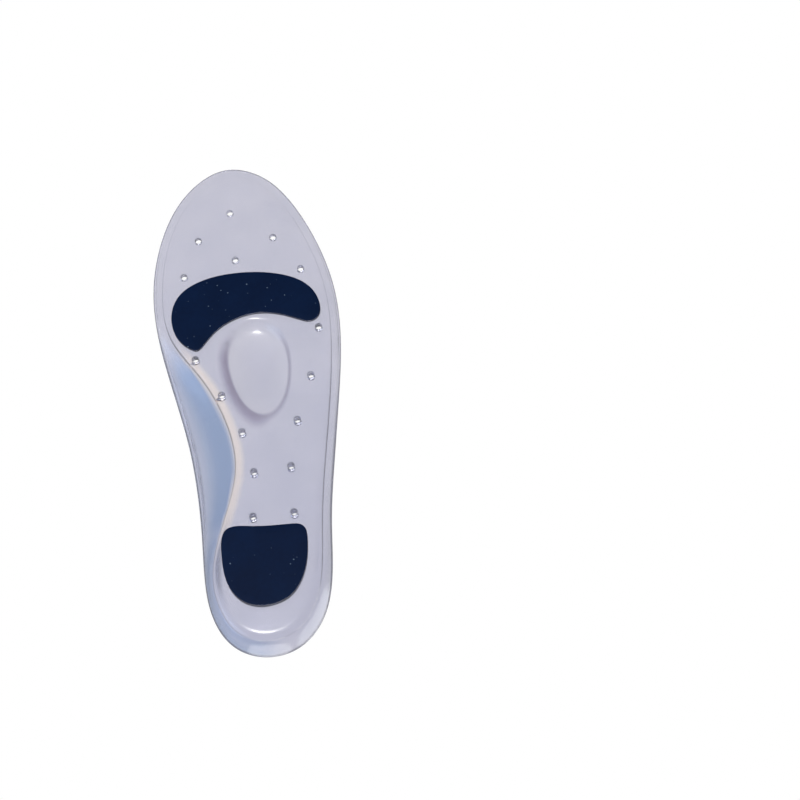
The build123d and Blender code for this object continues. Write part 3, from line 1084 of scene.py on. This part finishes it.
floor_finish = bpy.data.materials.new("pale_floor")
one_sided(floor_finish, colour=(0.60, 0.60, 0.61), glow=0.45)
corners = [(x * FLOOR_HALF, y * FLOOR_HALF, -FLOOR_GAP) for x, y in ((-1, -1), (1, -1), (1, 1), (-1, 1))]
floor = new_object("floor", corners, [(0, 1, 2, 3)])
floor.data.materials.append(floor_finish)
floor.visible_shadow = False
floor.visible_diffuse = False
floor.visible_glossy = False
floor.visible_transmission = False
floor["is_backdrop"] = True
print("floor:", 2 * FLOOR_HALF, "m across, top face up")


# %% Soft lights
def soft_light(name, place, target, size, power, colour=(1, 1, 1)):
    """A round area light at place, aimed at target."""
    lamp = bpy.data.lights.new(name, "AREA")
    lamp.shape = "DISK"
    lamp.size = size
    lamp.energy = power
    lamp.color = colour
    light = bpy.data.objects.new(name, lamp)
    light.location = place
    light.rotation_mode = "QUATERNION"
    light.rotation_quaternion = (Vector(target) - Vector(place)).to_track_quat("-Z", "Y")
    bpy.context.scene.collection.objects.link(light)
    return light


middle = (0, 0, 0)
soft_light("key_below", (0.12, 0.04, -1.10), middle, size=0.15, power=5.0, colour=(1.0, 0.97, 0.93))
soft_light("blue_side", (0.90, -0.30, -0.45), middle, size=0.9, power=5.0, colour=(0.50, 0.68, 1.0))
soft_light("key_above", (0.15, -1.25, 0.85), middle, size=1.5, power=17.0)
soft_light("fill_above", (-1.2, -0.5, 0.9), middle, size=1.6, power=14.0, colour=(0.93, 0.96, 1.0))
print("lights:", len(bpy.data.lights))

# %% [markdown]
# ## The room
# Clear gel shows what is behind it, so its room matters as much as its finish. This one is plain white
# where it is seen directly, and dim where it only lights the pads. Through the gel it is a bright card
# with grey round it, which gives every thin edge its dark line, and it is pale low down.


# %% A white room with a bright card behind the gel
CARD_DIRECTION = (0.058, 0.470, 0.881)  # from the camera, through the middle of the sole
CARD_HALF, CARD_FADE = math.radians(9), math.radians(28)
UNDER_END, CARD_START = 0.10, 0.42  # how steeply up the pale part ends and the card's part starts


def white_room(seen, lit, card, beside, under):
    """Strengths: seen directly, as light, and through the gel for the card, beside it and low down."""
    world = bpy.data.worlds.new("white_room")
    world.use_nodes = True
    tree = world.node_tree
    add, link = tree.nodes.new, tree.links.new
    back = tree.nodes["Background"]
    back.inputs["Color"].default_value = (1.0, 1.0, 1.0, 1.0)
    path, where = add("ShaderNodeLightPath"), add("ShaderNodeTexCoord")
    near, split = add("ShaderNodeVectorMath"), add("ShaderNodeSeparateXYZ")
    near.operation = "DOT_PRODUCT"
    near.inputs[1].default_value = CARD_DIRECTION
    link(where.outputs["Generated"], near.inputs[0])
    link(where.outputs["Generated"], split.inputs[0])
    above = rise(tree, near.outputs["Value"], math.cos(CARD_FADE), math.cos(CARD_HALF), beside, card)
    behind = rise(tree, split.outputs["Z"], UNDER_END, CARD_START, under, above)
    through, whole = add("ShaderNodeMix"), add("ShaderNodeMix")
    through.inputs["A"].default_value = lit
    whole.inputs["B"].default_value = seen
    link(path.outputs["Is Transmission Ray"], through.inputs["Factor"])
    link(behind, through.inputs["B"])
    link(path.outputs["Is Camera Ray"], whole.inputs["Factor"])
    link(through.outputs["Result"], whole.inputs["A"])
    link(whole.outputs["Result"], back.inputs["Strength"])
    bpy.context.scene.world = world


white_room(seen=1.0, lit=0.30, card=0.88, beside=0.30, under=0.80)
bpy.context.scene.view_settings.view_transform = "Standard"
print("world:", bpy.context.scene.world.name)

# %% [markdown]
# ## The camera
# The sole is the side worth seeing, so the camera looks up at it from behind and below the heel. A long
# lens keeps the foot shape true, and the insole stands left of the middle of the view.

# %% The camera, behind and below the heel
CAMERA_DISTANCE = 1.15
CAMERA_TILT = math.radians(27.65)
CAMERA_ROLL = math.radians(-6.29)
LENS, SENSOR = 112.5, 36.0
LEFT_OF_CENTRE, ABOVE_CENTRE = 0.1843, 0.0059


def below_camera():
    """A camera under the sole, tilted back from straight below towards the heel."""
    forward = Vector((0, math.sin(CAMERA_TILT), math.cos(CAMERA_TILT)))
    up = Vector((0, math.cos(CAMERA_TILT), -math.sin(CAMERA_TILT)))
    right = forward.cross(up)
    rolled_right = right * math.cos(CAMERA_ROLL) + up * math.sin(CAMERA_ROLL)
    rolled_up = up * math.cos(CAMERA_ROLL) - right * math.sin(CAMERA_ROLL)
    frame_width = CAMERA_DISTANCE * SENSOR / LENS
    place = -forward * CAMERA_DISTANCE
    place += rolled_right * LEFT_OF_CENTRE * frame_width
    place -= rolled_up * ABOVE_CENTRE * frame_width
    data = bpy.data.cameras.new("camera")
    data.lens, data.sensor_width = LENS, SENSOR
    data.clip_start, data.clip_end = 0.05, 20.0
    camera = bpy.data.objects.new("camera", data)
    bpy.context.scene.collection.objects.link(camera)
    turn = np.column_stack([rolled_right, rolled_up, -forward])
    camera.matrix_world = Matrix([[*turn[i], place[i]] for i in range(3)] + [[0, 0, 0, 1]])
    bpy.context.scene.camera = camera
    return camera


camera = below_camera()
print("camera at", [round(v, 3) for v in camera.matrix_world.translation])

# %% Sizes, for the record
visual_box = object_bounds()
for name, (low, high) in (("cad", cad_box), ("visual", visual_box)):
    print(name, [round(v / MM, 2) for v in (*low, *high)])
